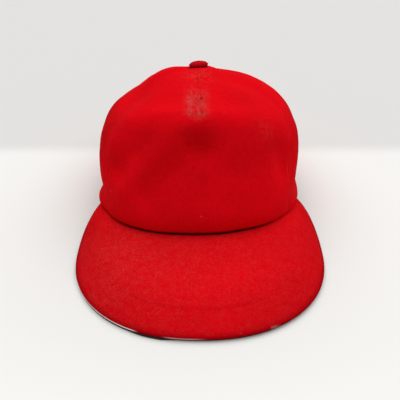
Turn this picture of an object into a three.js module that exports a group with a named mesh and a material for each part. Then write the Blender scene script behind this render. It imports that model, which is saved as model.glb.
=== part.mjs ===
// A soft hunting cap of red milled wool: five crown panels, a covered button, a broad curved peak and a
// sweatband. It rests on the back of its rim and on the edge of its peak.
// Millimetres, +Z up. The peak points along -Y, and +X is to the right of someone who faces the cap.
import * as THREE from 'three';

// Sizes of the whole cap
const crownMiddleY = 39.8; // the middle of the head opening lies behind the middle of the whole cap
const wall = 2; // milled wool
const gap = 0.3; // between one piece and the next
const peakCorner = 70; // degrees from the front to each corner of the peak

// Seams between panels, in degrees from the front: they run straight up from the rim, then fan out.
const frontSeam = { rim: 50, top: 84 };
const sideSeam = { rim: 116, top: 132 };
const middleSeam = { rim: 180, top: 180 };
const fanFrom = 0.3; // how far up the seams begin to fan out, as a share of the whole rise

// Rings of the crown, from the rim at rise 0 to the hole under the button at rise 1. midX and midY place
// a ring's middle; front, back, left and right are its reaches from there, and the columns with a Z its
// heights there. square is 2 for an ellipse and more for a boxier ring.
const ringColumns = [
  'rise', 'midX', 'midY', 'front', 'back', 'left', 'right', 'frontZ', 'backZ', 'leftZ', 'rightZ', 'square',
];
const rings = [
  [0, 0, 0, 95.3, 98, 88.5, 87.5, 22.5, -0.6, 9, 12, 2.3],
  [0.125, 0, 0, 98, 101, 83, 81, 37, 17, 24, 26, 2.7],
  [0.25, 0, 0, 92, 101, 85, 82, 55.5, 35, 41, 41, 2.7],
  [0.375, 0, 0, 84.5, 98, 84.5, 83, 73.5, 53, 57, 57, 2.6],
  [0.5, 0, 0, 77.5, 90, 80, 80, 91, 70, 73, 73, 2.5],
  [0.625, 0, 1, 70, 74, 68, 70, 104, 85, 86, 87, 2.3],
  [0.685, 0, 2, 64.5, 64.5, 59.8, 61.9, 108.6, 91.1, 92.3, 93, 2.25],
  [0.75, 0, 3, 55, 53, 50, 51, 109.5, 97, 99, 99, 2.2],
  [0.875, -1, 4, 30, 28, 31, 24, 114, 107, 110.5, 109.5, 2],
  [0.95, -1.2, 5, 11, 11, 12, 10, 118, 112.6, 116, 115.5, 2],
  [1, -1.2, 5, 3.2, 3.2, 3.2, 3.2, 117.1, 115.6, 116.4, 116.4, 2],
].map((row) => Object.fromEntries(ringColumns.map((column, i) => [column, row[i]])));

// Dents (depth below 0) and ridges (above 0) of the soft crown, each along a line from one place to
// another: turn in degrees from the front, rise from 0 at the rim to 1 at the button, sizes in mm.
const folds = [
  { name: 'dart', turn: 0, rise: 0.9, toTurn: -2, toRise: 0.66, width: 4, depth: -1.2 },
  { name: 'hollow at the end of the dart', turn: -1, rise: 0.5, toTurn: 1, toRise: 0.48, width: 11, depth: -7.5 },
  { name: 'long valley below it', turn: -2, rise: 0.46, toTurn: -24, toRise: 0.25, width: 9, depth: -3 },
  { name: 'long ridge beside the valley', turn: -10, rise: 0.57, toTurn: -36, toRise: 0.26, width: 9, depth: 3.4 },
  { name: 'short valley on the right', turn: 2, rise: 0.46, toTurn: 20, toRise: 0.34, width: 9, depth: -1.5 },
  { name: 'hollow on the left of the front', turn: -32, rise: 0.51, toTurn: -41, toRise: 0.37, width: 11, depth: -4.5 },
  { name: 'ridge down the left edge', turn: -50, rise: 0.62, toTurn: -50, toRise: 0.42, width: 7, depth: 1.5 },
  { name: 'hollow on the right of the front', turn: 44, rise: 0.46, toTurn: 45, toRise: 0.34, width: 9, depth: -3.5 },
  { name: 'flat right of the brow', turn: 22, rise: 0.02, toTurn: 42, toRise: 0.02, width: 20, depth: -1.7 },
  { name: 'rim bulged out at its left corner', turn: -66, rise: 0.04, toTurn: -74, toRise: 0.02, width: 10, depth: 2.2 },
  { name: 'slack on the left shoulder', turn: -70, rise: 0.72, toTurn: -122, toRise: 0.62, width: 15, depth: -2.5 },
  { name: 'fullness left of the button', turn: -110, rise: 0.86, toTurn: -140, toRise: 0.82, width: 14, depth: 2 },
];

// Peak
const peak = {
  halfWidth: 95.5,
  widestY: -90, // from the middle of the head opening, as the next three
  frontReach: 91.4, // from the widest place to the front edge
  rearReach: 130, // of the ellipse that the edge follows back to the corners
  cornerY: -31,
  square: 2.24,
  thickness: 3.2, // wool over the board
  underThickness: 1, // dark cloth beneath
  underInset: 1.2, // of the dark cloth behind the front edge
  edgeRoll: 1.6, // radius of the folded edge
  camber: 3, // how far the peak bows up between seam and edge
  flatShare: 0.74, // how much of the edge, from the middle out, lies on the surface
};
const peakColumns = 36;
const plainRows = [1, 0.9, 0.7, 0.5, 0.3, 0.12, 0]; // shares of the way from the seam to the edge
const rolledRows = [1, 0.994, 0.98, ...plainRows.slice(1)];

// Button, which leans back a little with the crown under it
const button = { radius: 8, height: 6, rim: 2, shankRadius: 1.6, shankLength: 3, tilt: 13, sides: 20 };
const buttonDome = [0, 20, 40, 60, 77]; // degrees up from its widest ring
const buttonPlace = [-1.2, crownMiddleY + 5, 117];

// Sweatband
const band = { thickness: 1, rows: 3, columns: 56, clearance: 0.3, lift: 0.5 };

const panelRows = 20;
const wool = 0xb01019;
const darkCloth = 0x3a2a28;

const radians = THREE.MathUtils.degToRad;
const lerp = THREE.MathUtils.lerp;

// The value of one column of the rings at a rise from 0 to 1, on a smooth curve through the rows.
function ringValue(column, rise) {
  const last = rings.length - 1;
  const row = Math.min(rings.findLastIndex((ring) => ring.rise <= rise), last - 1);
  const [from, to] = [rings[row], rings[row + 1]];
  const slopeAt = (i) => {
    const before = rings[Math.max(i - 1, 0)];
    const after = rings[Math.min(i + 1, last)];
    return (after[column] - before[column]) / (after.rise - before.rise);
  };
  const span = to.rise - from.rise;
  const t = (rise - from.rise) / span;
  const blend = t * t * (3 - 2 * t);
  const bend = span * t * (1 - t) * ((1 - t) * slopeAt(row) - t * slopeAt(row + 1));
  return lerp(from[column], to[column], blend) + bend;
}

// A point of the smooth crown, before its folds.
function smoothCrown(turn, rise) {
  const value = (column) => ringValue(column, rise);
  const across = Math.sin(radians(turn));
  const along = Math.cos(radians(turn));
  const side = across < 0 ? value('left') : value('right');
  const end = along < 0 ? value('back') : value('front');
  const sideZ = across < 0 ? value('leftZ') : value('rightZ');
  const endZ = along < 0 ? value('backZ') : value('frontZ');
  const square = value('square');
  const reach = (Math.abs(across) / side) ** square + (Math.abs(along) / end) ** square;
  const radius = reach ** (-1 / square);
  return new THREE.Vector3(
    value('midX') + radius * across,
    crownMiddleY + value('midY') - radius * along,
    lerp(sideZ, endZ, along * along),
  );
}

// The outward direction of a surface given by a function of turn and rise.
function outward(surface, turn, rise) {
  const step = 0.5;
  const riseStep = 0.005;
  const acrossStep = surface(turn + step, rise).sub(surface(turn - step, rise));
  const upStep = surface(turn, Math.min(rise + riseStep, 1)).sub(surface(turn, Math.max(rise - riseStep, 0)));
  return acrossStep.cross(upStep).normalize();
}

const foldLines = folds.map((fold) => ({
  line: new THREE.Line3(smoothCrown(fold.turn, fold.rise), smoothCrown(fold.toTurn, fold.toRise)),
  width: fold.width,
  depth: fold.depth,
}));

// A point on the outside of the crown, with its folds.
function crown(turn, rise) {
  const point = smoothCrown(turn, rise);
  const closest = new THREE.Vector3();
  let push = 0;
  for (const fold of foldLines) {
    fold.line.closestPointToPoint(point, true, closest);
    push += fold.depth * Math.exp(-((closest.distanceTo(point) / fold.width) ** 2));
  }
  return point.addScaledVector(outward(smoothCrown, turn, rise), push);
}

// A point at a depth inside the crown's outside. The rim's edge is level, and it never sinks below 0.
function insideCrown(turn, rise, depth) {
  const inward = outward(crown, turn, rise).negate();
  if (rise === 0) {
    inward.setZ(0).normalize();
  }
  const point = crown(turn, rise).addScaledVector(inward, depth);
  point.z = Math.max(point.z, 0);
  return point;
}

// A closed solid between two grids of points, rows first: over is its outside and under its inside.
// Seen from outside, columns run to the right and rows run up. A ring joins its last column to its first.
function solidBetween(over, under, isRing = false) {
  const rows = over.length;
  const columns = over[0].length;
  const index = (grid, row, column) => (grid * rows + row) * columns + (column % columns);
  const triangles = [];
  const quad = (a, b, c, d) => triangles.push(a, b, c, a, c, d);
  const lastColumn = isRing ? columns : columns - 1;
  for (let column = 0; column < lastColumn; column += 1) {
    const next = column + 1;
    for (let row = 0; row < rows - 1; row += 1) {
      quad(index(0, row, column), index(0, row, next), index(0, row + 1, next), index(0, row + 1, column));
      quad(index(1, row, column), index(1, row + 1, column), index(1, row + 1, next), index(1, row, next));
    }
    const top = rows - 1;
    quad(index(0, 0, column), index(1, 0, column), index(1, 0, next), index(0, 0, next));
    quad(index(0, top, column), index(0, top, next), index(1, top, next), index(1, top, column));
  }
  if (!isRing) {
    const last = columns - 1;
    for (let row = 0; row < rows - 1; row += 1) {
      quad(index(0, row, 0), index(0, row + 1, 0), index(1, row + 1, 0), index(1, row, 0));
      quad(index(0, row, last), index(1, row, last), index(1, row + 1, last), index(0, row + 1, last));
    }
  }
  const geometry = new THREE.BufferGeometry();
  geometry.setFromPoints([...over.flat(), ...under.flat()]);
  geometry.setIndex(triangles);
  geometry.computeVertexNormals();
  return geometry;
}

const grid = (rows, columns, pointAt) =>
  Array.from({ length: rows }, (_, row) => Array.from({ length: columns }, (_, column) => pointAt(row, column)));

// Where a seam is at a rise, in degrees from the front. side is 1 for the right and -1 for the left.
const seamTurn = (seam, side, rise) =>
  side * lerp(seam.rim, seam.top, THREE.MathUtils.smoothstep(rise, fanFrom, 1));

// A crown panel between two seams, each kept half a gap short of it.
function crownPanel(panel, steps) {
  const turnAt = (column, rise) => {
    const degreeLength = (turn) => smoothCrown(turn, rise).distanceTo(smoothCrown(turn + 1, rise));
    const from = seamTurn(panel.from, panel.fromSide, rise);
    const to = seamTurn(panel.to, panel.toSide, rise);
    return lerp(from + gap / 2 / degreeLength(from), to - gap / 2 / degreeLength(to), column / steps);
  };
  const sheet = (depth) =>
    grid(panelRows + 1, steps + 1, (row, column) => {
      const rise = row / panelRows;
      return insideCrown(turnAt(column, rise), rise, depth);
    });
  return solidBetween(sheet(0), sheet(wall));
}

// The line under the crown's rim where the peak begins, at a share from -1 to 1 across the cap.
const peakSeam = (share) => insideCrown(peakCorner * share, 0, wall + gap);

// The edge of the peak in plan, at a share from -1 to 1 across the cap, drawn in by an inset.
function peakEdge(share, inset) {
  const cornerAngle = Math.PI / 2 + Math.asin((peak.cornerY - peak.widestY) / peak.rearReach);
  const angle = cornerAngle * Math.abs(share);
  const reach = Math.cos(angle) > 0 ? peak.frontReach : peak.rearReach;
  const square = Math.cos(angle) > 0 ? peak.square : 2;
  const halfWidth = peak.halfWidth;
  const spread = (Math.sin(angle) ** square + Math.abs(Math.cos(angle)) ** square) ** (-1 / square);
  return new THREE.Vector2(
    Math.sign(share) * (halfWidth - inset) * spread * Math.sin(angle),
    crownMiddleY + peak.widestY - (reach - inset) * spread * Math.cos(angle),
  );
}

// A point on the bottom of the peak: across from -1 to 1, and out from 0 at the seam to 1 at the edge.
function peakBottom(across, out, inset) {
  const seam = peakSeam(across);
  const edge = peakEdge(across, inset);
  const depth = gap + peak.thickness + gap + peak.underThickness;
  const seamZ = seam.z - depth;
  const lifted = THREE.MathUtils.smoothstep(Math.abs(across), peak.flatShare, 1);
  const edgeZ = lifted * (peakSeam(Math.sign(across)).z - depth);
  const bow = peak.camber * 4 * out * (1 - out) * (1 - lifted);
  return new THREE.Vector3(lerp(seam.x, edge.x, out), lerp(seam.y, edge.y, out), lerp(seamZ, edgeZ, out) + bow);
}

// One layer of the peak, from a height above its bottom to another. inset draws its edge in, and roll is
// the radius that rounds the edge off from above.
function peakLayer(from, to, inset, roll) {
  const outs = roll > 0 ? rolledRows : plainRows;
  const sheet = (height, radius) =>
    grid(outs.length, peakColumns + 1, (row, column) => {
      const across = (2 * column) / peakColumns - 1;
      const point = peakBottom(across, outs[row], inset);
      const fromEdge = Math.min(point.distanceTo(peakBottom(across, 1, inset)), radius);
      const rounding = radius - Math.sqrt(radius ** 2 - (radius - fromEdge) ** 2);
      point.z += height - rounding;
      return point;
    });
  return solidBetween(sheet(to, roll), sheet(from, 0));
}

function topButton() {
  const { radius, height, rim, shankRadius, shankLength } = button;
  const dome = (degrees) =>
    new THREE.Vector2(radius * Math.cos(radians(degrees)), rim + (height - rim) * Math.sin(radians(degrees)));
  const profile = [
    new THREE.Vector2(0, -shankLength),
    new THREE.Vector2(shankRadius, -shankLength),
    new THREE.Vector2(shankRadius, 0),
    new THREE.Vector2(radius - rim / 2, 0),
    ...buttonDome.map(dome),
    new THREE.Vector2(0, height),
  ];
  return new THREE.LatheGeometry(profile, button.sides).rotateX(Math.PI / 2);
}

function sweatband() {
  const sheet = (depth) =>
    grid(band.rows + 1, band.columns, (row, column) => {
      const point = insideCrown((360 * column) / band.columns, row / panelRows, depth);
      point.z += band.lift;
      return point;
    });
  const outside = wall + gap + band.clearance;
  return solidBetween(sheet(outside), sheet(outside + band.thickness), true);
}

const cap = new THREE.Group();

function addPiece(name, geometry, color, roughness) {
  const material = new THREE.MeshStandardMaterial({ color, roughness, metalness: 0 });
  const piece = new THREE.Mesh(geometry, material);
  piece.name = name;
  cap.add(piece);
  return piece;
}

const panels = [
  { name: 'crown_front', from: frontSeam, fromSide: -1, to: frontSeam, toSide: 1, steps: 34 },
  { name: 'crown_side_right', from: frontSeam, fromSide: 1, to: sideSeam, toSide: 1, steps: 12 },
  { name: 'crown_back_right', from: sideSeam, fromSide: 1, to: middleSeam, toSide: 1, steps: 10 },
  { name: 'crown_back_left', from: middleSeam, fromSide: -1, to: sideSeam, toSide: -1, steps: 10 },
  { name: 'crown_side_left', from: sideSeam, fromSide: -1, to: frontSeam, toSide: -1, steps: 12 },
];
for (const panel of panels) {
  addPiece(panel.name, crownPanel(panel, panel.steps), wool, 0.95);
}

const peakLift = peak.underThickness + gap;
addPiece('peak', peakLayer(peakLift, peakLift + peak.thickness, 0, peak.edgeRoll), wool, 0.95);
addPiece('peak_under', peakLayer(0, peak.underThickness, peak.underInset, 0), darkCloth, 0.9);

const topPiece = addPiece('top_button', topButton(), wool, 0.95);
topPiece.position.fromArray(buttonPlace);
topPiece.rotation.x = -radians(button.tilt);

addPiece('sweatband', sweatband(), darkCloth, 0.9);

export default cap;
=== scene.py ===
import math

import bpy
import numpy as np
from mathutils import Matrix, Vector, noise


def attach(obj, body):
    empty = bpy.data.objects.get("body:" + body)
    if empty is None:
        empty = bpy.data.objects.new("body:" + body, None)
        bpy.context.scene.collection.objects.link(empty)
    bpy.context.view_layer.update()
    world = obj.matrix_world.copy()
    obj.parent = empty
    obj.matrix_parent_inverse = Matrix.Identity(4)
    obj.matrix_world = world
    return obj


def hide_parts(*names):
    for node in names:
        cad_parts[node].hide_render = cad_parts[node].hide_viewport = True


# A soft red hunting cap of milled wool. All tables are in mm and degrees, as in the part's own source;
# meshes are written in metres. The peak points along -Y and +X is on the right of someone who faces it.
# A place on the crown is a turn from the front and a rise from 0 at the rim to 1 at the top.
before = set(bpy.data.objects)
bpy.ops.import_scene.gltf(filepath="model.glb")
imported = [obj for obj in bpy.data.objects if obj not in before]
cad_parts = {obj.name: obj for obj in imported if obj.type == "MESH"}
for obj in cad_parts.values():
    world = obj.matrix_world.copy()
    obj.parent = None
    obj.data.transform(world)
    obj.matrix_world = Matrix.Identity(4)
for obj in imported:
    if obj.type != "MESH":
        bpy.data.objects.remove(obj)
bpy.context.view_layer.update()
mm = 0.001


def linear(hexColour):
    values = [int(hexColour[i:i + 2], 16) / 255 for i in (1, 3, 5)]
    return tuple(v / 12.92 if v <= 0.04045 else ((v + 0.055) / 1.055) ** 2.4 for v in values) + (1,)


def smoothStep(value, low, high):
    t = np.clip((value - low) / (high - low), 0, 1)
    return t * t * (3 - 2 * t)


def band(value, begins, full, fades, ends):  # 1 between full and fades, 0 outside begins and ends
    return smoothStep(value, begins, full) * (1 - smoothStep(value, fades, ends))


def hill(away, width):  # 1 in the middle, next to nothing at twice the width
    return np.exp(-((away / width) ** 2))


def blend(a, b, t):
    return a + (b - a) * t


def lumps(points, size, seed):  # smooth unevenness from about -1 to 1, as wide as size in mm
    shift = Vector((seed * 7.31, seed * 3.17, seed * 5.53))
    flat = (points / size).reshape(-1, 3).tolist()
    return np.array([noise.noise(Vector(p) + shift) for p in flat]).reshape(points.shape[:-1])


def stitchWave(along, spacing, least):  # between least and 1, with one wave to a stitch
    half = (1 - least) / 2
    return 1 - half + half * np.sin(along * 2 * math.pi / spacing)


def halfTurnAngles(rows):  # between the outside and the inside of a rounded edge
    return np.linspace(0, math.pi, rows + 2)[1:-1, None]


crownShape = {
    "middleY": 39.8,  # of the head opening
    "wall": 2.0,
    "gap": 0.3,  # between pieces
    "fanFrom": 0.3,  # the rise from which the seams draw together towards the top
    "seams": {"front": (50, 84), "side": (116, 132), "middle": (180, 180)},  # turns at the rim and at the top
    "slopeSteps": (0.5, 0.005),  # half the turn and the rise over which a slope is measured
    "levelBelow": 0.05,  # the rise below which the wall's thickness turns level, for a flat rim
    # Each ring has a middle, its reach to four sides, its height at each of them, and how square it is.
    "columns": ["rise", "midX", "midY", "front", "back", "left", "right",
                "frontZ", "backZ", "leftZ", "rightZ", "square"],
    "rings": [
        [0, 0, 0, 95.3, 98, 88.5, 87.5, 22.5, -0.6, 9, 12, 2.3],
        [0.125, 0, 0, 98, 101, 83, 81, 37, 17, 24, 26, 2.7],
        [0.25, 0, 0, 92, 101, 85, 82, 55.5, 35, 41, 41, 2.7],
        [0.375, 0, 0, 84.5, 98, 84.5, 83, 73.5, 53, 57, 57, 2.6],
        [0.5, 0, 0, 77.5, 90, 80, 80, 91, 70, 73, 73, 2.5],
        [0.625, 0, 1, 70, 74, 68, 70, 104, 85, 86, 87, 2.3],
        [0.685, 0, 2, 64.5, 64.5, 59.8, 61.9, 108.6, 91.1, 92.3, 93, 2.25],
        [0.75, 0, 3, 55, 53, 50, 51, 109.5, 97, 99, 99, 2.2],
        [0.875, -1, 4, 30, 28, 31, 24, 114, 107, 110.5, 109.5, 2],
        [0.95, -1.2, 5, 11, 11, 12, 10, 118, 112.6, 116, 115.5, 2],
        [1, -1.2, 5, 3.2, 3.2, 3.2, 3.2, 117.1, 115.6, 116.4, 116.4, 2],
    ],
    "folds": [  # turn, rise, to turn, to rise, width, depth
        (0, 0.9, -2, 0.66, 4, -1.2),
        (-1, 0.5, 1, 0.48, 11, -7.5),
        (-2, 0.46, -24, 0.25, 9, -3),
        (-10, 0.57, -36, 0.26, 9, 3.4),
        (2, 0.46, 20, 0.34, 9, -1.5),
        (-32, 0.51, -41, 0.37, 11, -4.5),
        (-50, 0.62, -50, 0.42, 7, 1.5),
        (44, 0.46, 45, 0.34, 9, -3.5),
        (22, 0.02, 42, 0.02, 20, -1.7),
        (-66, 0.04, -74, 0.02, 10, 2.2),
        (-70, 0.72, -122, 0.62, 15, -2.5),
        (-110, 0.86, -140, 0.82, 14, 2),
    ],
}
ringTable = np.array(crownShape["rings"], float)
ringRise = ringTable[:, 0]
ringLast = len(ringRise) - 1
ringSlope = np.array([
    (ringTable[min(i + 1, ringLast)] - ringTable[max(i - 1, 0)])
    / (ringRise[min(i + 1, ringLast)] - ringRise[max(i - 1, 0)])
    for i in range(ringLast + 1)
])


def ringValues(rise):
    row = np.clip(np.searchsorted(ringRise, rise, side="right") - 1, 0, ringLast - 1)
    span = ringRise[row + 1] - ringRise[row]
    t = (rise - ringRise[row]) / span
    step = (t * t * (3 - 2 * t))[..., None]
    bend = (span * t * (1 - t))[..., None] * (
        (1 - t)[..., None] * ringSlope[row] - t[..., None] * ringSlope[row + 1]
    )
    values = blend(ringTable[row], ringTable[row + 1], step) + bend
    return {name: values[..., i] for i, name in enumerate(crownShape["columns"])}


def smoothCrown(turn, rise):
    turn, rise = np.broadcast_arrays(np.asarray(turn, float), np.asarray(rise, float))
    ring = ringValues(rise)
    across = np.sin(np.radians(turn))
    along = np.cos(np.radians(turn))
    side = np.where(across < 0, ring["left"], ring["right"])
    end = np.where(along < 0, ring["back"], ring["front"])
    sideZ = np.where(across < 0, ring["leftZ"], ring["rightZ"])
    endZ = np.where(along < 0, ring["backZ"], ring["frontZ"])
    reach = (np.abs(across) / side) ** ring["square"] + (np.abs(along) / end) ** ring["square"]
    radius = reach ** (-1 / ring["square"])
    return np.stack([
        ring["midX"] + radius * across,
        crownShape["middleY"] + ring["midY"] - radius * along,
        blend(sideZ, endZ, along * along),
    ], axis=-1)


def outward(surface, turn, rise):
    turnStep, riseStep = crownShape["slopeSteps"]
    around = surface(turn + turnStep, rise) - surface(turn - turnStep, rise)
    upward = surface(turn, np.minimum(rise + riseStep, 1)) - surface(turn, np.maximum(rise - riseStep, 0))
    normal = np.cross(around, upward)
    return normal / np.linalg.norm(normal, axis=-1, keepdims=True)


def awayFromLine(points, start, end):
    line = end - start
    t = np.clip(((points - start) @ line) / (line @ line), 0, 1)
    return np.linalg.norm(points - (start + t[..., None] * line), axis=-1)


foldLines = [
    (smoothCrown(turn, rise), smoothCrown(toTurn, toRise), width, depth)
    for turn, rise, toTurn, toRise, width, depth in crownShape["folds"]
]


def crown(turn, rise):
    points = smoothCrown(turn, rise)
    push = np.zeros(points.shape[:-1])
    for start, end, width, depth in foldLines:
        push += depth * hill(awayFromLine(points, start, end), width)
    return points + push[..., None] * outward(smoothCrown, turn, rise)


def insideCrown(turn, rise, depth):
    turn, rise = np.broadcast_arrays(np.asarray(turn, float), np.asarray(rise, float))
    inward = -outward(crown, turn, rise)
    inward[..., 2] *= np.clip(rise / crownShape["levelBelow"], 0, 1)
    inward /= np.linalg.norm(inward, axis=-1, keepdims=True)
    points = crown(turn, rise) + inward * np.asarray(depth)[..., None]
    points[..., 2] = np.maximum(points[..., 2], 0)
    return points


def seamTurn(name, side, rise):
    rim, top = crownShape["seams"][name]
    return side * blend(rim, top, smoothStep(rise, crownShape["fanFrom"], 1))


factNames = ("rub", "wear", "shade", "fray")  # what a point of the cloth tells its material; shade is painted shade


def newPiece(name, points, faces, facts, material, slot, *nodes):
    mesh = bpy.data.meshes.new(name)
    mesh.from_pydata((points * mm).tolist(), [], faces)
    corners = np.array([face[:3] for face in faces])
    a, b, c = (points[corners[:, i]] for i in range(3))
    if np.einsum("ij,ij->i", a, np.cross(b, c)).sum() < 0:  # the faces look inwards
        mesh.flip_normals()
    for fact in factNames:
        values = np.clip(facts.get(fact, np.zeros(len(points))), 0, 1)
        stored = mesh.attributes.new(fact, "FLOAT", "POINT")
        stored.data.foreach_set("value", values.astype(np.float32).ravel())
    mesh.shade_smooth()
    mesh.materials.append(material)
    piece = bpy.data.objects.new(name, mesh)
    bpy.context.scene.collection.objects.link(piece)
    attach(piece, "root")
    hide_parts(*nodes)
    print(name, len(mesh.vertices), "points")


def shellFaces(outerRows, turnRows, columns, isRing):
    # The rows run down the outside, round the edge and up the inside.
    rows = 2 * outerRows + turnRows
    at = lambda row, column: (row % rows) * columns + (column % columns)
    faces = []
    for row in range(rows):
        for column in range(columns if isRing else columns - 1):
            faces.append((at(row, column), at(row, column + 1), at(row + 1, column + 1), at(row + 1, column)))
    if isRing:
        return faces
    edgeRows = range(outerRows - 1, outerRows + turnRows + 1)
    for column, order in ((0, 1), (columns - 1, -1)):
        for row in range(outerRows - 1):
            inner = rows - 1 - row
            quad = (at(row, column), at(row + 1, column), at(inner - 1, column), at(inner, column))
            faces.append(quad[::order])
        faces.append(tuple(at(row, column) for row in edgeRows)[::order])
    return faces


print("shape ready")


def addNode(tree, kind, inputs=None, links=None, **settings):
    node = tree.nodes.new(kind)
    for name, value in settings.items():
        setattr(node, name, value)
    for name, value in (inputs or {}).items():
        node.inputs[name].default_value = value
    for name, socket in (links or {}).items():
        tree.links.new(socket, node.inputs[name])
    return node


def combine(tree, operation, *values):  # each value is a number or a socket
    numbers = {i: value for i, value in enumerate(values) if isinstance(value, float)}
    sockets = {i: value for i, value in enumerate(values) if i not in numbers}
    return addNode(tree, "ShaderNodeMath", numbers, sockets, operation=operation).outputs[0]


def spread(tree, value, source, target=(0.0, 1.0)):
    return addNode(tree, "ShaderNodeMapRange", {
        "From Min": source[0], "From Max": source[1], "To Min": target[0], "To Max": target[1],
    }, {"Value": value}).outputs["Result"]


def noiseOf(tree, place, look):
    inputs = {"Scale": 1 / (look["size"] * mm), **look["noise"]}
    return addNode(tree, "ShaderNodeTexNoise", inputs, {"Vector": place}).outputs["Fac"]


def toneRamp(tree, level, stops):  # the stops are places and colours, lowest first
    ramp = addNode(tree, "ShaderNodeValToRGB", None, {"Fac": level})
    elements = ramp.color_ramp.elements
    for element, (place, colour) in zip((elements[0], elements[1]), (stops[0], stops[-1])):
        element.color = linear(colour)
        element.position = place
    for place, colour in stops[1:-1]:
        elements.new(place).color = linear(colour)
    return ramp


def tinted(tree, colour, amount, tint):
    # In a mix of colours 0 is the factor, 6 and 7 are what is mixed, and output 2 is the colour.
    mix = addNode(tree, "ShaderNodeMix", {7: linear(tint)}, {0: amount, 6: colour}, data_type="RGBA")
    return mix.outputs[2]


def newMaterial(name):
    material = bpy.data.materials.new(name)
    material.use_nodes = True
    place = addNode(material.node_tree, "ShaderNodeTexCoord").outputs["Object"]
    return material, material.node_tree, place


def finishSurface(tree, colour, surface):
    shader = tree.nodes["Principled BSDF"]
    tree.links.new(colour, shader.inputs["Base Color"])
    for name, value in surface.items():
        shader.inputs[name].default_value = linear(value) if isinstance(value, str) else value


def raiseSurface(tree, height, strength, depth):
    bump = addNode(tree, "ShaderNodeBump", {"Strength": strength, "Distance": depth * mm}, {"Height": height})
    tree.links.new(bump.outputs["Normal"], tree.nodes["Principled BSDF"].inputs["Normal"])


noiseRange = (0.3, 0.7)  # nearly all of a noise lies between these
woolLook = {
    "deep": "#BE000B",
    "bright": "#E40212",
    "rub": "#E2332C",  # crests where the nap is brushed bare
    "wear": "#CC4C48",  # thin, dusty nap
    "shade": "#2A0002",  # painted shade: the colour that creases, grooves, walls, edges and painted shadows are darkened towards
    "fray": "#FBEFE8",  # bare pale threads
    "brokenByTufts": ("rub", "wear"),
    "comb": (0.65, 1, 1),  # the nap lies across the cap
    "clumps": {  # felted clumps of fibre
        "size": 3.2, "tone": (0.03, 0.38), "noise": {"Detail": 4.0, "Roughness": 0.62, "Distortion": 0.5},
    },
    "fibres": {  # real fibres are 0.03 mm thick; drawn as coarse tufts so that they show
        "size": 0.9, "tone": (0.08, 0.32), "noise": {"Detail": 4.0, "Roughness": 0.7, "Distortion": 1.0},
    },
    "patches": {"size": 34.0, "tone": (0.0, 0.2), "noise": {"Detail": 2.0}},  # broad changes of tone
    "tufts": {  # where the nap is thin
        "size": 0.85, "between": (0.41, 0.59), "noise": {"Detail": 3.0, "Roughness": 0.7},
    },
    "lint": {"colour": "#DE5A4C", "spacing": 11.0, "size": 0.25, "share": 0.16},
    "clumpRelief": 0.5,  # how much the clumps count beside the fibres
    "bump": (0.7, 0.3),  # strength, and depth in mm
    "surface": {
        "Roughness": 0.95, "Specular IOR Level": 0.015,
        "Sheen Weight": 0.01, "Sheen Roughness": 0.5, "Sheen Tint": "#FF4A3A",
    },
}


def milledWool():
    # Milled wool melton, woven and then felted until no thread shows: a dense matt nap with soft clumps,
    # a faint lighter bloom at grazing angles and no gloss.
    look = woolLook
    cloth, tree, place = newMaterial("milledWoolMelton")
    combed = addNode(tree, "ShaderNodeMapping", {"Scale": look["comb"]}, {"Vector": place}).outputs["Vector"]
    clumps = noiseOf(tree, place, look["clumps"])
    clumpTone = spread(tree, clumps, noiseRange, look["clumps"]["tone"])
    fibreTone = spread(tree, noiseOf(tree, combed, look["fibres"]), noiseRange, look["fibres"]["tone"])
    broadTone = spread(tree, noiseOf(tree, place, look["patches"]), noiseRange, look["patches"]["tone"])
    level = combine(tree, "ADD", combine(tree, "ADD", clumpTone, fibreTone), broadTone)
    colour = toneRamp(tree, level, [(0, look["deep"]), (1, look["bright"])]).outputs["Color"]
    tufts = spread(tree, noiseOf(tree, combed, look["tufts"]), look["tufts"]["between"])
    for fact in factNames:
        amount = addNode(tree, "ShaderNodeAttribute", attribute_name=fact).outputs["Fac"]
        if fact in look["brokenByTufts"]:
            amount = combine(tree, "MULTIPLY", amount, tufts)
        colour = tinted(tree, colour, amount, look[fact])
    lint = look["lint"]
    cells = addNode(tree, "ShaderNodeTexVoronoi", {"Scale": 1 / (lint["spacing"] * mm)}, {"Vector": place})
    reach = lint["size"] / lint["spacing"]
    near = spread(tree, cells.outputs["Distance"], (reach / 2, reach), (1.0, 0.0))
    chance = addNode(tree, "ShaderNodeSeparateColor", None, {"Color": cells.outputs["Color"]}).outputs[0]
    chosen = combine(tree, "GREATER_THAN", chance, 1 - lint["share"])
    colour = tinted(tree, colour, combine(tree, "MULTIPLY", near, chosen), lint["colour"])
    finishSurface(tree, colour, look["surface"])
    raiseSurface(tree, combine(tree, "MULTIPLY_ADD", clumps, look["clumpRelief"], fibreTone), *look["bump"])
    return cloth


twillLook = {
    "peak": ("darkCottonTwill", "#3E2C29", "#241816"),  # name, warp and weft
    "band": ("brushedCottonTwill", "#4A3733", "#2C201E"),
    "rib": 1.0,  # real ribs are 0.6 mm apart; drawn wider so that they show
    "wave": {"Distortion": 0.6, "Detail": 1.0},
    "slubs": {"size": 2.2, "noise": {"Detail": 3.0}},
    "ribShare": 0.5,  # how much the ribs count beside the slubs
    "toneRange": (0.35, 0.95),
    "bump": (0.6, 0.2),  # strength, and depth in mm
    "surface": {"Roughness": 0.85, "Specular IOR Level": 0.2},
}


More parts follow.
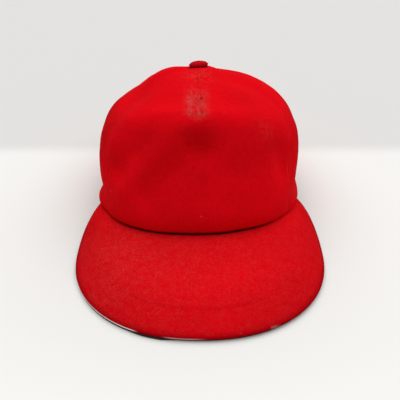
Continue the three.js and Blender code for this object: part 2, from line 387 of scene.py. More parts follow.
def cottonTwill(name, warp, weft):
    # Cotton twill, woven with slanting ribs: dull, with a fine diagonal line that catches the light.
    look = twillLook
    cloth, tree, place = newMaterial(name)
    # Across its bands a slanting wave's phase grows by 10 root 2 radians for each unit.
    perMetre = 2 * math.pi / (10 * math.sqrt(2) * look["rib"] * mm)
    ribs = addNode(tree, "ShaderNodeTexWave", {"Scale": perMetre, **look["wave"]}, {"Vector": place},
                   wave_type="BANDS", bands_direction="DIAGONAL").outputs["Fac"]
    level = combine(tree, "MULTIPLY_ADD", ribs, look["ribShare"], noiseOf(tree, place, look["slubs"]))
    low, high = look["toneRange"]
    colour = toneRamp(tree, level, [(low, weft), (high, warp)]).outputs["Color"]
    frayed = addNode(tree, "ShaderNodeAttribute", attribute_name="fray").outputs["Fac"]
    finishSurface(tree, tinted(tree, colour, frayed, woolLook["fray"]), look["surface"])
    raiseSurface(tree, level, *look["bump"])
    return cloth


wool = milledWool()
underCloth = cottonTwill(*twillLook["peak"])
bandCloth = cottonTwill(*twillLook["band"])
print("materials ready")


panelShape = {
    "rows": 205,
    "rimRows": 7,
    "rimRise": 0.008,  # where the rounding of the rim begins
    "edgeSteps": [0, 0.12, 0.35, 0.7, 1.15, 1.7, 2.4, 3.3, 4.4, 5.8],  # mm from a seam
    "fullWidth": 60,  # on a narrower panel the edge steps shrink
    "samples": 25,  # along a row, to measure its width
    "seamGap": 0.08,
    "seamRoll": 1.4,  # radius of the cloth where it turns in to a seam
    "allowance": {  # the turned-in edge on the inside: height, mm from the seam, and rises
        "height": 0.7, "across": (0.3, 1.4, 6.2, 7.0), "along": (0.17, 0.2, 0.85, 0.95),
    },
    "pucker": {  # along a seam
        "spacing": 9.0, "height": 0.12, "reach": 7, "wander": (2, 20), "mmPerRise": 150,
    },
    "tuck": {"height": 5.0, "depth": 1.3, "behind": 0.35, "ahead": (55, 75)},  # deepest over the peak
    "tuckLine": {"middle": -4, "fades": (20, 62), "height": 1.3},  # painted shadow under the tuck
    "mmPerRise": 116,  # near the rim
    "paintedWallShade": {  # painted shade: strongest partway up the walls, faint at the rim and on the top
        "low": 0.02, "middle": 0.17, "high": 0.02, "deepens": (0.22, 0.5), "fades": (0.56, 0.66),
    },
    "paintedSideShade": {"tone": 0.1, "turns": (56, 74, 84, 130), "rises": (0.48, 0.64)},  # painted shade at both ends of the front
    "lumps": [(26, 0.4), (8, 0.1), (2.8, 0.05)],  # size and height
    "puffs": [  # turn, rise, size, height: the cloth swells around the button and dips to the left of it
        (30, 0.965, 8, 0.9), (85, 0.925, 11, 1.3), (85, 0.97, 6, 0.4), (-20, 0.97, 5, 0.6),
        (180, 0.965, 7, 1), (-115, 0.86, 14, -0.9),
    ],
}
seamLook = {
    "eases": (0.5, 0.62),  # rises between which a seam goes from its low depth to its high one
    "crest": (1.2, 0.9),  # mm from the seam, and width
    "patches": (0.5, 0.7, 9),  # how patchy the rubbed crests are: middle, range and size
    "leastRub": 0.1,
    "lineWidth": 0.5,
    "seams": {  # depth on the walls and on the top, rub on the left and the right one, and painted shade along the seam's line
        "front": {"low": 0.4, "high": 0.06, "left": 0.6, "right": 0.9, "line": 0.1},
        "side": {"low": 1, "high": 0.8, "left": 0.35, "right": 0.35, "line": 0.5},
        "middle": {"low": 1, "high": 0.8, "left": 0.35, "right": 0.35, "line": 0.5},
    },
}
panelTable = [  # name, first seam and its side, last seam and its side, middle columns
    ("crown_front", "front", -1, "front", 1, 185),
    ("crown_side_right", "front", 1, "side", 1, 66),
    ("crown_back_right", "side", 1, "middle", 1, 66),
    ("crown_back_left", "middle", -1, "side", -1, 66),
    ("crown_side_left", "side", -1, "front", -1, 66),
]
dart = {
    "from": (0, 0.97), "to": (-2, 0.64),  # turn and rise
    # the groove is also darkened with painted shade
    "groove": {"depth": 0.22, "width": 0.8, "rises": (0.7, 0.84, 0.97, 1), "shade": 0.17},
    "ridge": {"away": 5.0, "height": 0.28, "width": 1.1, "rises": (0.62, 0.7, 0.85, 0.92)},  # turned-in edges
}
wornPatch = {  # where the nap over the end of the dart is worn thin
    "middle": -2.2, "halfWidth": 8.2,  # X
    "from": 14, "full": -9, "until": (-29, -23),  # Y
    "above": 90,  # Z
    "wander": (1.4, 11),  # how far its outline strays, and over what length
    "amount": 0.7, "deeper": 0.16, "sunk": 0.2,
    "ribs": {"spacing": 2.3, "strength": 0.4, "fades": (-5, -1)},  # they show on the left
    "streak": (-7.6, 1.5, 0.4),  # place, width and strength of the palest stripe
    "along": (1, 0.35, 0.35),  # thin places run along the dart
    "mottle": {"middle": 0.85, "long": (0.8, 2.4), "round": (0.5, 6), "most": 1.4},  # amounts and sizes
    "pits": [(1, -2, 0.9), (-3.2, -9, 0.3), (-7, -22, 0.3), (1.5, -23, 0.3)],  # x, y and strength; each is sunk and darkened with painted shade
    "pitSize": 0.9, "pitDepth": 0.6,
}
frontMarks = {  # spots: turn, rise, size, strength
    "specks": [(-70, 0.9, 0.35, 0.4), (43, 0.93, 0.3, 0.3), (0.5, 0.155, 0.35, 0.12), (-46, 0.22, 0.5, 0.1)],
    "dusty": [
        (39, 0.58, 8, 0.28), (0, 0.93, 10, 0.6), (-4, 0.85, 7, 0.45), (-4, 0.78, 8, 0.4),
        (52, 0.115, 7, 0.35),
    ],
    "dustyClumps": (0.4, 2.4),  # their middle tone and size
    "dust": 0.035,
    "deep": [  # painted shade in the hollows and on the shaded walls, and painted light where the number is negative
        (-5, 0.57, 8, 0.08), (2, 0.46, 9, -0.16), (-2, 0.36, 14, 0.08), (-16, 0.22, 16, 0.06),
        (0, 0.12, 16, 0.04), (-36, 0.57, 8, 0.015), (-37, 0.42, 8, -0.16), (-46, 0.27, 10, -0.06),
        (38, 0.3, 18, -0.12), (13, 0.46, 9, -0.12), (15, 0.58, 14, 0.03), (44, 0.78, 16, 0.11),
        (-60, 0.65, 9, 0.08), (-68, 0.52, 8, 0.08), (38, 0.66, 12, 0.04),
    ],
}


def mmPerDegree(turn, rise):
    step = crownShape["slopeSteps"][0]
    arc = smoothCrown(turn + step, rise) - smoothCrown(turn - step, rise)
    return np.linalg.norm(arc, axis=-1) / (2 * step)


def panelTurns(firstSeam, firstSide, lastSeam, lastSide, middle, rise):
    start = seamTurn(firstSeam, firstSide, rise)[:, None]
    end = seamTurn(lastSeam, lastSide, rise)[:, None]
    path = smoothCrown(blend(start, end, np.linspace(0, 1, panelShape["samples"])[None, :]), rise[:, None])
    width = np.linalg.norm(np.diff(path, axis=1), axis=-1).sum(axis=1)
    narrow = np.minimum(1, width / panelShape["fullWidth"])[:, None]
    steps = np.array(panelShape["edgeSteps"])[None, :] * narrow + panelShape["seamGap"] / 2
    startScale = mmPerDegree(start, rise[:, None])
    endScale = mmPerDegree(end, rise[:, None])
    first = start + steps / startScale
    last = (end - steps / endScale)[:, ::-1]
    inner = blend(first[:, -1:], last[:, :1], np.linspace(0, 1, middle + 2)[None, 1:-1])
    turn = np.concatenate([first, inner, last], axis=1)
    return turn, (turn - start) * startScale, (end - turn) * endScale


def spotsOn(points, spots):
    total = np.zeros(points.shape[:-1])
    for turn, rise, size, strength in spots:
        total += strength * hill(np.linalg.norm(points - smoothCrown(turn, rise), axis=-1), size)
    return total


def dartRelief(points, rise):
    groove = dart["groove"]
    ridge = dart["ridge"]
    off = awayFromLine(points, smoothCrown(*dart["from"]), smoothCrown(*dart["to"]))
    sunk = hill(off, groove["width"]) * band(rise, *groove["rises"])
    raised = hill(off - ridge["away"], ridge["width"]) * band(rise, *ridge["rises"])
    return ridge["height"] * raised - groove["depth"] * sunk, groove["shade"] * sunk


def wornRelief(points):
    patch = wornPatch
    x = points[..., 0]
    y = points[..., 1]
    stray, length = patch["wander"]
    wander = stray * lumps(points, length, seed=41)
    across = np.exp(-((x + wander - patch["middle"]) / patch["halfWidth"]) ** 4)
    along = (1 - smoothStep(y, patch["full"], patch["from"])) * smoothStep(y + wander, *patch["until"])
    ribs = patch["ribs"]
    ribbed = ribs["strength"] * np.sin(x * 2 * math.pi / ribs["spacing"])
    ribbed *= 1 - smoothStep(x, *ribs["fades"])
    mottle = patch["mottle"]
    longAmount, longSize = mottle["long"]
    roundAmount, roundSize = mottle["round"]
    uneven = mottle["middle"] + ribbed
    uneven += longAmount * lumps(points * np.array(patch["along"]), longSize, seed=43)
    uneven += roundAmount * lumps(points, roundSize, seed=6)
    place, width, strength = patch["streak"]
    upper = points[..., 2] > patch["above"]
    worn = patch["amount"] * across + strength * hill(x - place, width)
    wear = along * upper * worn * np.clip(uneven, 0, mottle["most"])
    inPatch = across * along * upper
    sunk = patch["sunk"] * inPatch
    shade = patch["deeper"] * inPatch
    # each pit is sunk and darkened with painted shade
    for pitX, pitY, strength in patch["pits"]:
        pit = strength * hill(np.hypot(x - pitX, y - pitY), patch["pitSize"]) * upper
        sunk += patch["pitDepth"] * pit
        shade += pit
    return -sunk, wear, shade


def seamRelief(seams, points, rise, away):
    height = np.zeros(points.shape[:-1])
    rub = np.zeros(points.shape[:-1])
    shade = np.zeros(points.shape[:-1])
    roll = panelShape["seamRoll"]
    pucker = panelShape["pucker"]
    waves = rise * pucker["mmPerRise"] / pucker["spacing"]
    stray, length = pucker["wander"]
    wave = np.sin(waves * 2 * math.pi + stray * lumps(points, length, seed=9))
    middle, patchRange, size = seamLook["patches"]
    patchy = np.clip(middle + patchRange * lumps(points, size, seed=4), 0, 1)
    crestAway, crestWidth = seamLook["crest"]
    least = seamLook["leastRub"]
    for (seam, side), distance in zip(seams, away):
        look = seamLook["seams"][seam]
        depth = blend(look["low"], look["high"], smoothStep(rise, *seamLook["eases"]))
        height -= depth * (roll - np.sqrt(np.maximum(roll ** 2 - np.maximum(roll - distance, 0) ** 2, 0)))
        height += depth * pucker["height"] * wave * np.exp(-distance / pucker["reach"])
        crest = hill(distance - crestAway, crestWidth)
        rub += look["left" if side < 0 else "right"] * crest * patchy * (least + (1 - least) * depth)
        # painted shade along the seam's groove
        shade += look["line"] * depth * hill(distance, seamLook["lineWidth"])
    return height, rub, shade


def panelRelief(name, seams, points, rise, turn, away):
    height, rub, shade = seamRelief(seams, points, rise, away)
    for i, (size, amount) in enumerate(panelShape["lumps"]):
        height += amount * lumps(points, size, seed=i + 1)
    height += spotsOn(points, panelShape["puffs"])
    tuck = panelShape["tuck"]
    tuckLine = panelShape["tuckLine"]
    aboveRim = rise * panelShape["mmPerRise"]
    ahead = 1 - smoothStep(np.abs(turn), *tuck["ahead"])
    tucked = (1 - np.clip(aboveRim / tuck["height"], 0, 1)) ** 2
    height -= tuck["depth"] * blend(tuck["behind"], 1, ahead) * tucked
    # painted shadow under the tuck, over the peak
    inMiddle = 1 - smoothStep(np.abs(turn - tuckLine["middle"]), *tuckLine["fades"])
    shade += ahead * inMiddle * hill(aboveRim, tuckLine["height"])
    # painted shade on the walls
    wall = panelShape["paintedWallShade"]
    onTop = smoothStep(rise, *wall["fades"])
    shade += blend(wall["low"], wall["middle"], smoothStep(rise, *wall["deepens"])) * (1 - onTop)
    shade += wall["high"] * onTop
    # painted shade at both ends of the front
    side = panelShape["paintedSideShade"]
    shade += side["tone"] * band(np.abs(turn), *side["turns"]) * (1 - smoothStep(rise, *side["rises"]))
    # painted shade and painted light in spots
    shade += spotsOn(points, frontMarks["deep"])
    facts = {"rub": rub, "shade": shade, "wear": np.zeros_like(rub), "fray": np.zeros_like(rub)}
    if name == "crown_front":
        raised, dartShade = dartRelief(points, rise)
        sunk, wear, wornShade = wornRelief(points)
        height += raised + sunk
        clumpTone, clumpSize = frontMarks["dustyClumps"]
        dusty = np.clip(clumpTone + lumps(points, clumpSize, seed=8), 0, 1)
        dusty *= spotsOn(points, frontMarks["dusty"])
        facts["shade"] = shade + dartShade + wornShade
        facts["wear"] = wear + dusty + frontMarks["dust"]
        facts["fray"] = spotsOn(points, frontMarks["specks"])
    return height, facts


def buildPanel(name, firstSeam, firstSide, lastSeam, lastSide, middle):
    rise = np.linspace(1, panelShape["rimRise"], panelShape["rows"])
    turn, fromFirst, fromLast = panelTurns(firstSeam, firstSide, lastSeam, lastSide, middle, rise)
    riseGrid = np.broadcast_to(rise[:, None], turn.shape)
    skin = crown(turn, riseGrid)
    seams = ((firstSeam, firstSide), (lastSeam, lastSide))
    height, facts = panelRelief(name, seams, skin, riseGrid, turn, (fromFirst, fromLast))
    outer = skin + height[..., None] * outward(crown, turn, riseGrid)
    allowance = panelShape["allowance"]
    folded = band(np.minimum(fromFirst, fromLast), *allowance["across"]) * band(riseGrid, *allowance["along"])
    inner = insideCrown(turn, riseGrid, crownShape["wall"] + allowance["height"] * folded)
    drop = crown(turn[-1], np.zeros(turn.shape[1])) - skin[-1]
    angles = halfTurnAngles(panelShape["rimRows"])[..., None]
    rim = blend(outer[-1], inner[-1], (1 - np.cos(angles)) / 2) + drop * np.sin(angles)
    points = np.concatenate([outer, rim, inner[::-1]])
    points[..., 2] = np.maximum(points[..., 2], 0)
    hidden = np.zeros((len(points) - len(outer), turn.shape[1]))
    facts = {fact: np.concatenate([values, hidden]) for fact, values in facts.items()}
    faces = shellFaces(len(rise), panelShape["rimRows"], turn.shape[1], False)
    newPiece(name + "_cloth", points.reshape(-1, 3), faces, facts, wool, "wool", name)


for row in panelTable:
    buildPanel(*row)


peakShape = {
    "corner": 70,  # the turn at which the peak's seam ends
    "halfWidth": 95.5, "widestY": -90, "frontReach": 91.4, "square": 2.24,  # 2 is round, more is squarer
    "rearReach": 130, "cornerY": -31,  # behind its widest place the edge is round, and ends at the corners
    "thickness": 3.2, "underThickness": 1.0, "camber": 3,
    "flatShare": 0.74,  # the share of the way round from which the edge rises to its corner
    "columns": 300, "rows": 84, "edgeRows": 11,
    "crowding": 1.6,  # how much the rows crowd towards the edge
    "lift": 1.05,  # the board's cloth lies right on the cloth beneath
    "edgeRadius": 1.6, "droop": 0.7, "droopWidth": 8,
    "calm": (1, 5),  # mm from the edge between which the unevenness begins
    "boardEdge": {"inset": 20, "half": 1.5, "height": 0.25},  # the board's rim shows through the wool
    "line": {  # the stitches along it, which fade towards the sides, with painted shade in their groove
        "depth": 0.18, "width": 1.1, "spacing": 3.2, "radius": 72, "middle": -3, "fades": (30, 62),
        "least": 0.3, "shade": 0.15,
    },
    "lumps": [(38, 0.55), (9, 0.1), (2.8, 0.05)],
}
underShape = {
    "rows": 40,
    "edgeRadius": 0.5,
    # It peeps out past the wool at the front on the left: share of the way round, and inset in mm.
    "insets": [(-0.55, 1.2), (-0.47, 0.5), (-0.26, 0.5), (-0.2, -0.3), (-0.13, -0.3), (-0.08, 1.2)],
}
peakMarks = {  # spots: x, y, size, strength
    "junction": {  # painted shadow along the crown's overhanging rim: where it fades and ends, on the left and on the right
        "width": 2.6, "tone": 0.95, "left": (40, 105), "right": (30, 78),
    },
    "frayed": [
        (48.5, -132, 0.9, 0.12), (50.5, -131.3, 0.9, 0.16), (52.5, -130.6, 0.8, 0.1), (27, -137.5, 0.4, 0.12),
        (-9.5, -93, 0.3, 0.15), (-55, -86, 0.35, 0.06),
    ],
    "paleEdge": [  # where the wool's edge is bare: shares of the way round, and strength
        (-0.63, -0.56, -0.24, -0.21, 0.9), (-0.13, -0.1, -0.03, 0.03, 0.3),
    ],
    "paleBelow": (0.72, 0.12),  # how far up the rolled edge it is bare, and how soon it ends
    "dusty": [
        (-72, -62, 24, 0.12), (-45, -75, 34, 0.1), (10, -100, 60, 0.05), (-70, -105, 16, 0.1),
        (15, -128, 36, -0.06),
    ],
    "dust": 0.13,
    "dustClumps": {"middle": 0.9, "range": 0.5, "sizes": (2.6, 5)},
    # painted shade, stronger towards the sides and away from the seam
    "deep": {"middle": 0.04, "sides": 0.11, "between": (20, 75), "fromSeam": (8, 22)},
    # painted shade, fading inwards from the edge
    "paintedEdgeShade": {"tone": 0.16, "fades": (2, 45)},
    # painted shade on the rolled edge as it turns down, darkest under it
    "rolledEdge": {"tone": 0.34, "width": 5, "under": 0.8},
}


def peakSeam(share):
    turn = peakShape["corner"] * share
    return insideCrown(turn, np.zeros_like(turn), crownShape["wall"] + crownShape["gap"])


def peakEdge(share, inset):
    corner = math.pi / 2 + math.asin((peakShape["cornerY"] - peakShape["widestY"]) / peakShape["rearReach"])
    angle = corner * np.abs(share)
    isFront = np.cos(angle) > 0
    reach = np.where(isFront, peakShape["frontReach"], peakShape["rearReach"])
    square = np.where(isFront, peakShape["square"], 2)
    radius = (np.sin(angle) ** square + np.abs(np.cos(angle)) ** square) ** (-1 / square)
    return np.stack([
        np.sign(share) * (peakShape["halfWidth"] - inset) * radius * np.sin(angle),
        crownShape["middleY"] + peakShape["widestY"] - (reach - inset) * radius * np.cos(angle),
    ], axis=-1)


def peakBottom(share, out, inset):
    seam = peakSeam(share)
    edge = peakEdge(share, inset)
    depth = 2 * crownShape["gap"] + peakShape["thickness"] + peakShape["underThickness"]
    lifted = smoothStep(np.abs(share), peakShape["flatShare"], 1)
    cornerZ = peakSeam(np.where(share < 0, -1.0, 1.0))[..., 2]
    edgeZ = lifted * (cornerZ - depth)
    bow = peakShape["camber"] * 4 * out * (1 - out) * (1 - lifted)  # highest halfway out
    return np.stack([
        blend(seam[..., 0], edge[..., 0], out),
        blend(seam[..., 1], edge[..., 1], out),
        blend(seam[..., 2] - depth, edgeZ, out) + bow,
    ], axis=-1)


def insideEdge(points):
    halfWidth = peakShape["halfWidth"]
    frontReach = peakShape["frontReach"]
    square = peakShape["square"]
    x = np.abs(points[..., 0])
    y = np.abs(points[..., 1] - crownShape["middleY"] - peakShape["widestY"])
    reach = ((x / halfWidth) ** square + (y / frontReach) ** square) ** (1 / square)
    return (1 - reach) * blend(frontReach, halfWidth, (x / halfWidth) ** 2)


def spotsOnPeak(points, spots):
    total = np.zeros(points.shape[:-1])
    for x, y, size, strength in spots:
        total += strength * hill(np.hypot(points[..., 0] - x, points[..., 1] - y), size)
    return total


def layerGrid(share, rows, inset, radius, low, thickness, edgeRows):
    toEdge = peakEdge(share, inset) - peakSeam(share)[..., :2]
    length = np.linalg.norm(toEdge, axis=-1)
    direction = toEdge / length[:, None]
    radius = np.minimum(radius, length / 3)  # smaller at the corners, where the peak is short
    crowded = 1 - (1 - np.linspace(0, 1, rows)) ** peakShape["crowding"]
    out = crowded[:, None] * (1 - radius / length)[None, :]
    under = peakBottom(share[None, :], out, inset)
    under[..., 2] += low
    top = under + np.array([0, 0, thickness])
    angles = halfTurnAngles(edgeRows)
    arc = np.repeat(under[-1:], edgeRows, axis=0)
    arc[..., :2] += direction[None] * (radius[None, :] * np.sin(angles))[..., None]
    return top, arc, under, out * length[None, :], (1 - out) * length[None, :], (1 + np.cos(angles)) / 2


def closeLayer(top, arc, under, upArc):
    arc[..., 2] = blend(under[-1][:, 2], top[-1][:, 2], upArc)
    points = np.concatenate([top, arc, under[::-1]])
    points[..., 2] = np.maximum(points[..., 2], 0)
    return points


def peakRelief(top, fromEdge):
    look = peakShape
    stitched = look["line"]
    board = look["boardEdge"]
    inEdge = insideEdge(top)
    near = smoothStep(fromEdge, *look["calm"])
    ahead = top[..., 1] - crownShape["middleY"] - look["widestY"]
    along = np.arctan2(top[..., 0], -ahead) * stitched["radius"]
    stitch = stitchWave(along, stitched["spacing"], stitched["least"])
    fade = 1 - smoothStep(np.abs(top[..., 0] - stitched["middle"]), *stitched["fades"])
    line = hill(inEdge - board["inset"], stitched["width"]) * fade * stitch
    relief = -look["droop"] * (1 - smoothStep(fromEdge, 0, look["droopWidth"]))
    for i, (size, amount) in enumerate(look["lumps"]):
        relief += amount * lumps(top, size, seed=i + 11) * near
    onBoard = smoothStep(inEdge, board["inset"] - board["half"], board["inset"] + board["half"])
    relief += board["height"] * onBoard * near
    return relief - stitched["depth"] * line, stitched["shade"] * line


# Painted shade on the peak: the shadow along the crown, darker sides and darker edges; and dust.
def peakTones(top, fromSeam, fromEdge):
    marks = peakMarks
    across = np.abs(top[..., 0])
    junction = marks["junction"]
    isLeft = top[..., 0] < 0
    fades, ends = (np.where(isLeft, left, right) for left, right in zip(junction["left"], junction["right"]))
    dark = np.exp(-((fromSeam / junction["width"]) ** 4)) * (1 - smoothStep(across, fades, ends))
    deep = marks["deep"]
    deeper = blend(deep["middle"], deep["sides"], smoothStep(across, *deep["between"]))
    deeper *= smoothStep(fromSeam, *deep["fromSeam"])
    broadShade = marks["paintedEdgeShade"]
    rolled = marks["rolledEdge"]
    # painted shade fading in from the edge, and darker on the rolled edge
    edgeTone = broadShade["tone"] * (1 - smoothStep(fromEdge, *broadShade["fades"]))
    edgeTone += rolled["tone"] * (1 - smoothStep(fromEdge, 0, rolled["width"]))
    clumps = marks["dustClumps"]
    fine, coarse = (lumps(top, size, seed) for size, seed in zip(clumps["sizes"], (17, 18)))
    dusty = np.clip(marks["dust"] + spotsOnPeak(top, marks["dusty"]), 0, 1)
    dusty *= np.clip(clumps["middle"] + clumps["range"] * fine + clumps["range"] * coarse, 0, 2)
    return deeper + junction["tone"] * dark + edgeTone, dusty


# Painted shade round the rolled edge and under it, and pale bare threads where the edge is worn.
def edgeTones(share, upArc, hiddenRows):
    marks = peakMarks
    rolled = marks["rolledEdge"]
    highest, softness = marks["paleBelow"]
    pale = np.zeros((hiddenRows, len(share)))
    shade = pale + rolled["under"]
    shade[:len(upArc)] = blend(rolled["under"], rolled["tone"] + marks["paintedEdgeShade"]["tone"], upArc)
    for begins, full, fades, ends, strength in marks["paleEdge"]:
        bare = band(share, begins, full, fades, ends)
        pale[:len(upArc)] += strength * bare * np.clip((highest - upArc) / softness, 0, 1)
    return shade, pale


def buildPeakTop():
    look = peakShape
    share = np.linspace(-1, 1, look["columns"])
    top, arc, under, fromSeam, fromEdge, upArc = layerGrid(
        share, look["rows"], 0, look["edgeRadius"], look["lift"], look["thickness"], look["edgeRows"])
    relief, lineShade = peakRelief(top, fromEdge)
    top[..., 2] += relief
    points = closeLayer(top, arc, under, upArc)
    shade, dusty = peakTones(top, fromSeam, fromEdge)
    edgeShade, pale = edgeTones(share, upArc, len(points) - len(top))
    facts = {
        "shade": np.concatenate([shade + lineShade, edgeShade]),
        "wear": np.concatenate([dusty, np.zeros_like(pale)]),
        "fray": spotsOnPeak(points, peakMarks["frayed"]) + np.concatenate([np.zeros_like(dusty), pale]),
    }
    faces = shellFaces(len(top), look["edgeRows"], len(share), False)
    newPiece("peak_cloth", points.reshape(-1, 3), faces, facts, wool, "wool", "peak")


def buildPeakUnder():
    look = underShape
    share = np.linspace(-1, 1, peakShape["columns"])
    inset = np.interp(share, *zip(*look["insets"]))
    top, arc, under, _, _, upArc = layerGrid(
        share, look["rows"], inset, look["edgeRadius"], 0, peakShape["underThickness"], peakShape["edgeRows"])
    points = closeLayer(top, arc, under, upArc).reshape(-1, 3)
    faces = shellFaces(len(top), peakShape["edgeRows"], len(share), False)
    newPiece("peak_under_cloth", points, faces, {}, underCloth, "dark_cloth", "peak_under")


buildPeakTop()
buildPeakUnder()


buttonShape = {
    "radius": 7.8, "height": 4.5, "rim": 1.4, "crown": 0.85,
    "shankRadius": 1.6, "shankLength": 3.5,
    "underside": [(1.6, -0.3), (2.6, -0.15), (4, 0), (5.4, 0), (6.4, 0)],  # radius and height
    "turnUnder": {"radius": 6.6, "out": 1.4, "up": 1.9, "begins": 0.2, "rows": 8},  # up to the rim
    "dome": {"begins": 0.06, "leaves": 0.05, "rows": 26},  # radians past the rim and before the top
    "middleRadius": 0.01,  # where the profile closes
    "tilt": 13, "lean": 4, "place": (-1.2, 44.8, 117.5), "columns": 120,
    "pleats": {"count": 13, "depth": 0.55, "height": 0.8, "width": 1.3, "from": 5, "uneven": (0.8, 3)},
    "lumps": {"size": 3.5, "height": 0.15, "from": 3},
    # painted shade: the whole button darker, and darker still underneath
    "tone": 0.34, "paintedUnderShade": 0.16, "underBelow": (0.6, 3.2),
    # dust all over, and a paler, greyer top
    "dust": 0.12, "paleTop": 0.25, "topAbove": (4, 5.2),
}


def buttonProfile():
    b = buttonShape
    turn = b["turnUnder"]
    dome = b["dome"]
    profile = [(b["middleRadius"], -b["shankLength"]), (b["shankRadius"], -b["shankLength"])]
    profile += b["underside"]
    for a in np.linspace(turn["begins"], math.pi / 2, turn["rows"]):
        profile.append((turn["radius"] + turn["out"] * math.sin(a), turn["up"] * (1 - math.cos(a))))
    for a in np.linspace(dome["begins"], math.pi / 2 - dome["leaves"], dome["rows"]):
        rise = (b["height"] - b["rim"]) * math.sin(a) ** b["crown"]
        profile.append((b["radius"] * math.cos(a), b["rim"] + rise))
    profile.append((b["middleRadius"], b["height"]))
    return np.array(profile)


def buildButton():
    b = buttonShape
    profile = buttonProfile()
    radii = profile[:, :1]
    angle = np.linspace(0, 2 * math.pi, b["columns"], endpoint=False)
    across = np.cos(angle)[None, :]
    along = np.sin(angle)[None, :]
    points = np.stack([radii * across, radii * along, np.repeat(profile[:, 1:], len(angle), axis=1)], axis=-1)
    pleats = b["pleats"]
    low = hill(points[..., 2] - pleats["height"], pleats["width"]) * (radii > pleats["from"])
    shift, waves = pleats["uneven"]
    pleated = np.sin(angle * pleats["count"] + shift * np.sin(angle * waves))[None, :] * low
    points[..., :2] *= (1 - pleats["depth"] / b["radius"] * (0.5 - 0.5 * pleated))[..., None]
    uneven = b["lumps"]
    points[..., 2] += uneven["height"] * lumps(points, uneven["size"], seed=21) * (radii > uneven["from"])
    tilt = math.radians(b["tilt"])
    x, y, z = (points[..., i] for i in range(3))
    turned = np.stack([
        x,
        y * math.cos(tilt) + z * math.sin(tilt),
        -y * math.sin(tilt) + z * math.cos(tilt) + x * math.sin(math.radians(b["lean"])),
    ], axis=-1) + np.array(b["place"])
    rows, columns = turned.shape[:2]
    at = lambda row, column: row * columns + column % columns
    faces = [
        (at(i, j), at(i, j + 1), at(i + 1, j + 1), at(i + 1, j))
        for i in range(rows - 1) for j in range(columns)
    ]
    faces.append(tuple(range(columns))[::-1])
    faces.append(tuple(at(rows - 1, j) for j in range(columns)))
    facts = {
        "shade": b["tone"] + b["paintedUnderShade"] * (1 - smoothStep(z, *b["underBelow"])),
        "wear": b["dust"] + b["paleTop"] * smoothStep(z, *b["topAbove"]),
    }
    newPiece("top_button_cloth", turned.reshape(-1, 3), faces, facts, wool, "wool", "top_button")


buildButton()


bandShape = {
    "thickness": 1.0, "height": 20, "topRise": 0.15, "clearance": 0.3, "lift": 0.5,
    "columns": 420, "rows": 22, "edgeRows": 3, "edgeDrop": 0.4,
    "stitch": {"above": 2.5, "width": 0.6, "depth": 0.35, "spacing": 3.0, "mmPerDegree": 1.6, "least": 0.2},
    "lumps": (12, 0.1),
}


def buildBand():
    b = bandShape
    stitch = b["stitch"]
    rise = np.linspace(b["topRise"], 0, b["rows"])
    turn, riseGrid = np.meshgrid(np.linspace(0, 360, b["columns"], endpoint=False), rise)
    turn = np.where(turn > 180, turn - 360, turn)
    away = crownShape["wall"] + crownShape["gap"] + b["clearance"]
    outer = insideCrown(turn, riseGrid, away + 0 * riseGrid)
    fromBottom = (riseGrid / b["topRise"]) * b["height"]
    stitches = stitchWave(turn * stitch["mmPerDegree"], stitch["spacing"], stitch["least"])
    groove = hill(fromBottom - stitch["above"], stitch["width"]) * stitches
    size, amount = b["lumps"]
    thickness = b["thickness"] - stitch["depth"] * groove + amount * lumps(outer, size, seed=31)
    inner = insideCrown(turn, riseGrid, away + thickness)
    angles = halfTurnAngles(b["edgeRows"])[..., None]
    drop = np.sin(angles) * np.array([0, 0, b["edgeDrop"]])
    arc = blend(outer[-1], inner[-1], (1 - np.cos(angles)) / 2) - drop
    points = np.concatenate([outer, arc, inner[::-1]])
    points[..., 2] += b["lift"]
    faces = shellFaces(len(rise), b["edgeRows"], b["columns"], True)
    newPiece("sweatband_cloth", points.reshape(-1, 3), faces, {}, bandCloth, "dark_cloth", "sweatband")


buildBand()


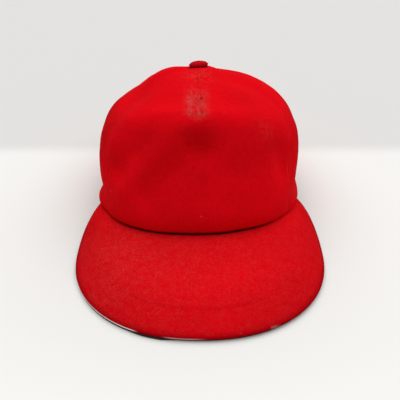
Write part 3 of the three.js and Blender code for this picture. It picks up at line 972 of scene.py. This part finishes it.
studio = {
    "floorHalf": 6.0,  # in metres
    "board": [  # Y in metres, and tone: painted light towards the camera, painted shade behind the cap
        (-0.3, "#E5E6E4"), (-0.12, "#DFDFDC"), (0.105, "#DFDFDC"), (0.133, "#CECDCB"),
    ],
    "surface": {"Roughness": 0.9, "Specular IOR Level": 0.1},
    "world": "#FFFFFF", "worldStrength": 0.24,
    "lamps": {  # two broad lamps, far enough away to light everything evenly
        "top": {"turn": (-16, 5), "spread": 110, "power": 3.15},
        "front": {"turn": (48, 12), "spread": 60, "power": 0.24},
    },
    "lens": 50, "sensor": 36, "pitch": 34, "camera": (0, crownShape["middleY"] - 430, 280),
}


def paintedBoard():
    # A sheet of matt white board: a flat pale surface with painted light and shade, a touch lighter towards
    # the camera and greyer behind the cap, painted as the shade of a backdrop rising there.
    board, tree, place = newMaterial("mattWhiteBoard")
    split = addNode(tree, "ShaderNodeSeparateXYZ", None, {"Vector": place})
    begins, *_, ends = (y for y, colour in studio["board"])
    along = spread(tree, split.outputs["Y"], (begins, ends))
    ramp = toneRamp(tree, along, [((y - begins) / (ends - begins), colour) for y, colour in studio["board"]])
    ramp.color_ramp.interpolation = "EASE"
    finishSurface(tree, ramp.outputs["Color"], studio["surface"])
    return board


floorMesh = bpy.data.meshes.new("floor")
half = studio["floorHalf"]
floorCorners = [(-half, -half, 0), (half, -half, 0), (half, half, 0), (-half, half, 0)]
floorMesh.from_pydata(floorCorners, [], [(0, 1, 2, 3)])
floorMesh.materials.append(paintedBoard())
floor = bpy.data.objects.new("floor", floorMesh)
bpy.context.scene.collection.objects.link(floor)

world = bpy.data.worlds.new("studio")
bpy.context.scene.world = world
world.use_nodes = True
world.node_tree.nodes["Background"].inputs["Color"].default_value = linear(studio["world"])
world.node_tree.nodes["Background"].inputs["Strength"].default_value = studio["worldStrength"]

for name, setting in studio["lamps"].items():
    light = bpy.data.lights.new(name, "SUN")
    light.angle = math.radians(setting["spread"])
    light.energy = setting["power"]
    lamp = bpy.data.objects.new(name, light)
    bpy.context.scene.collection.objects.link(lamp)
    lamp.location = (0, 0, 1)
    lamp.rotation_euler = tuple(math.radians(angle) for angle in setting["turn"]) + (0,)

camera = bpy.data.cameras.new("camera")
camera.lens = studio["lens"]
camera.sensor_width = studio["sensor"]
camera.clip_start = 0.01
eye = bpy.data.objects.new("camera", camera)
bpy.context.scene.collection.objects.link(eye)
eye.location = Vector(studio["camera"]) * mm
eye.rotation_euler = (math.radians(90 - studio["pitch"]), 0, 0)
bpy.context.scene.camera = eye
bpy.context.scene.view_settings.view_transform = "Standard"
print("studio ready")
